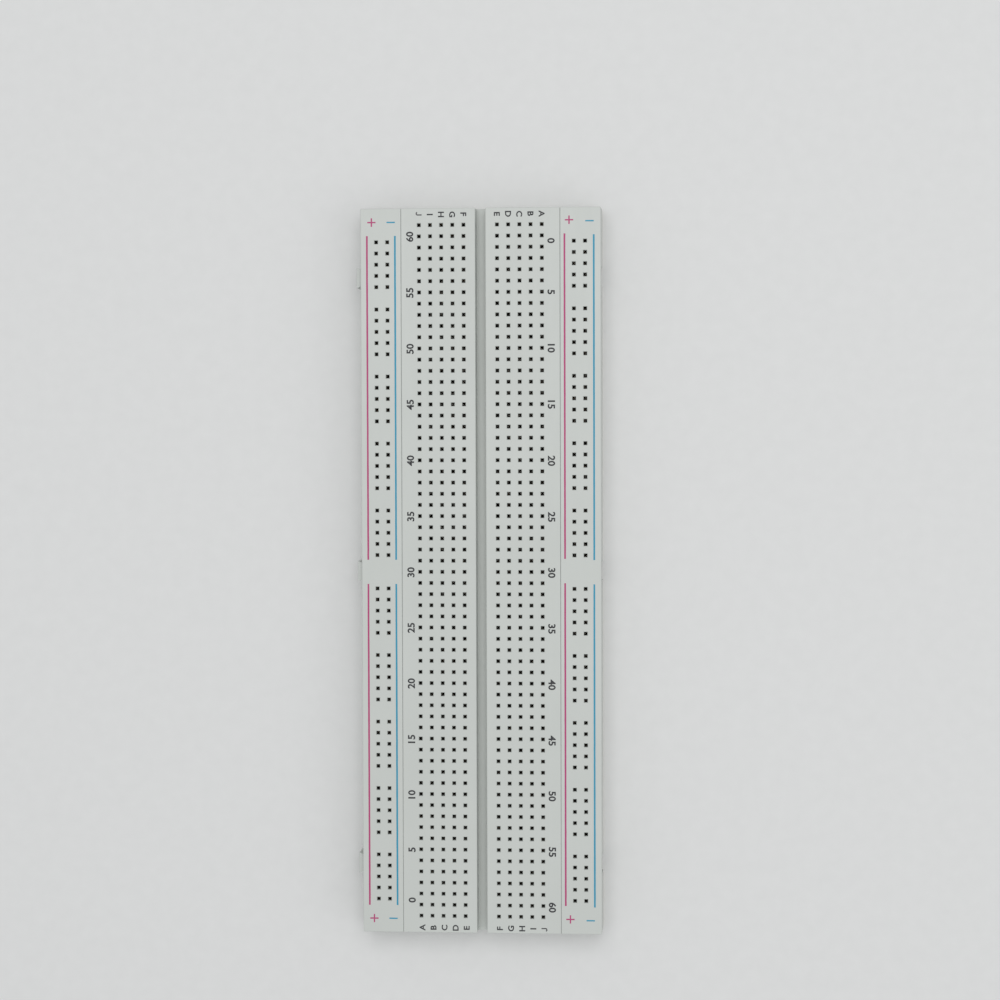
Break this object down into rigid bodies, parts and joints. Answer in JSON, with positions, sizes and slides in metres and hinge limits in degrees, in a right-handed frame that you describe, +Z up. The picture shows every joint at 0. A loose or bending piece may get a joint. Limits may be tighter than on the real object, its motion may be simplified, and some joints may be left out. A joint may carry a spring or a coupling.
{
  "type": "solderless breadboard",
  "caption": "Solderless breadboard: a terminal strip with a centre channel between two power rail strips, joined by dovetail tabs, with spring clips and adhesive foam backing.",
  "frame": {"origin": "in the plane the board rests on, on the release liner's underside, below the middle of the terminal strip's centre channel", "axes": "+Z up through the tie points, +Y along the channel and the columns, +X from the left power rail strip to the right one; each strip's tabs point to -X"},
  "size_m": [0.0558, 0.165, 0.01],
  "materials": {
    "moulding": "off-white ABS with a fine satin texture, printed in red, blue and dark grey",
    "spring_clip": "nickel-plated phosphor bronze sheet, bright and lightly brushed",
    "adhesive_foam": "white closed-cell foam tape, matt",
    "release_liner": "waxed pale yellow paper, slightly glossy"
  },
  "bodies": {
    "rail_right": {"rail_strip_right": "moulding", "rail_clip_right_plus_lower": "spring_clip", "rail_clip_right_plus_upper": "spring_clip", "rail_clip_right_minus_lower": "spring_clip", "rail_clip_right_minus_upper": "spring_clip", "foam_pad_right": "adhesive_foam", "release_liner_right": "release_liner"},
    "terminal": {"terminal_strip_left_bank": "moulding", "terminal_strip_right_bank": "moulding", "row_clips_left_1": "spring_clip", "row_clips_left_2": "spring_clip", "row_clips_left_3": "spring_clip", "row_clips_left_4": "spring_clip", "row_clips_left_5": "spring_clip", "row_clips_left_6": "spring_clip", "row_clips_left_7": "spring_clip", "row_clips_right_1": "spring_clip", "row_clips_right_2": "spring_clip", "row_clips_right_3": "spring_clip", "row_clips_right_4": "spring_clip", "row_clips_right_5": "spring_clip", "row_clips_right_6": "spring_clip", "row_clips_right_7": "spring_clip", "foam_pad_terminal": "adhesive_foam", "release_liner_terminal": "release_liner"},
    "rail_left": {"rail_strip_left": "moulding", "rail_clip_left_plus_lower": "spring_clip", "rail_clip_left_plus_upper": "spring_clip", "rail_clip_left_minus_lower": "spring_clip", "rail_clip_left_minus_upper": "spring_clip", "foam_pad_left": "adhesive_foam", "release_liner_left": "release_liner"}
  },
  "joints": [
    {"name": "lift_terminal", "type": "slide", "parent": "rail_right", "child": "terminal", "axis": [0, 0, 1], "range_m": [0, 0.008]},
    {"name": "lift_rail_left", "type": "slide", "parent": "terminal", "child": "rail_left", "axis": [0, 0, 1], "range_m": [0, 0.008]}
  ]
}
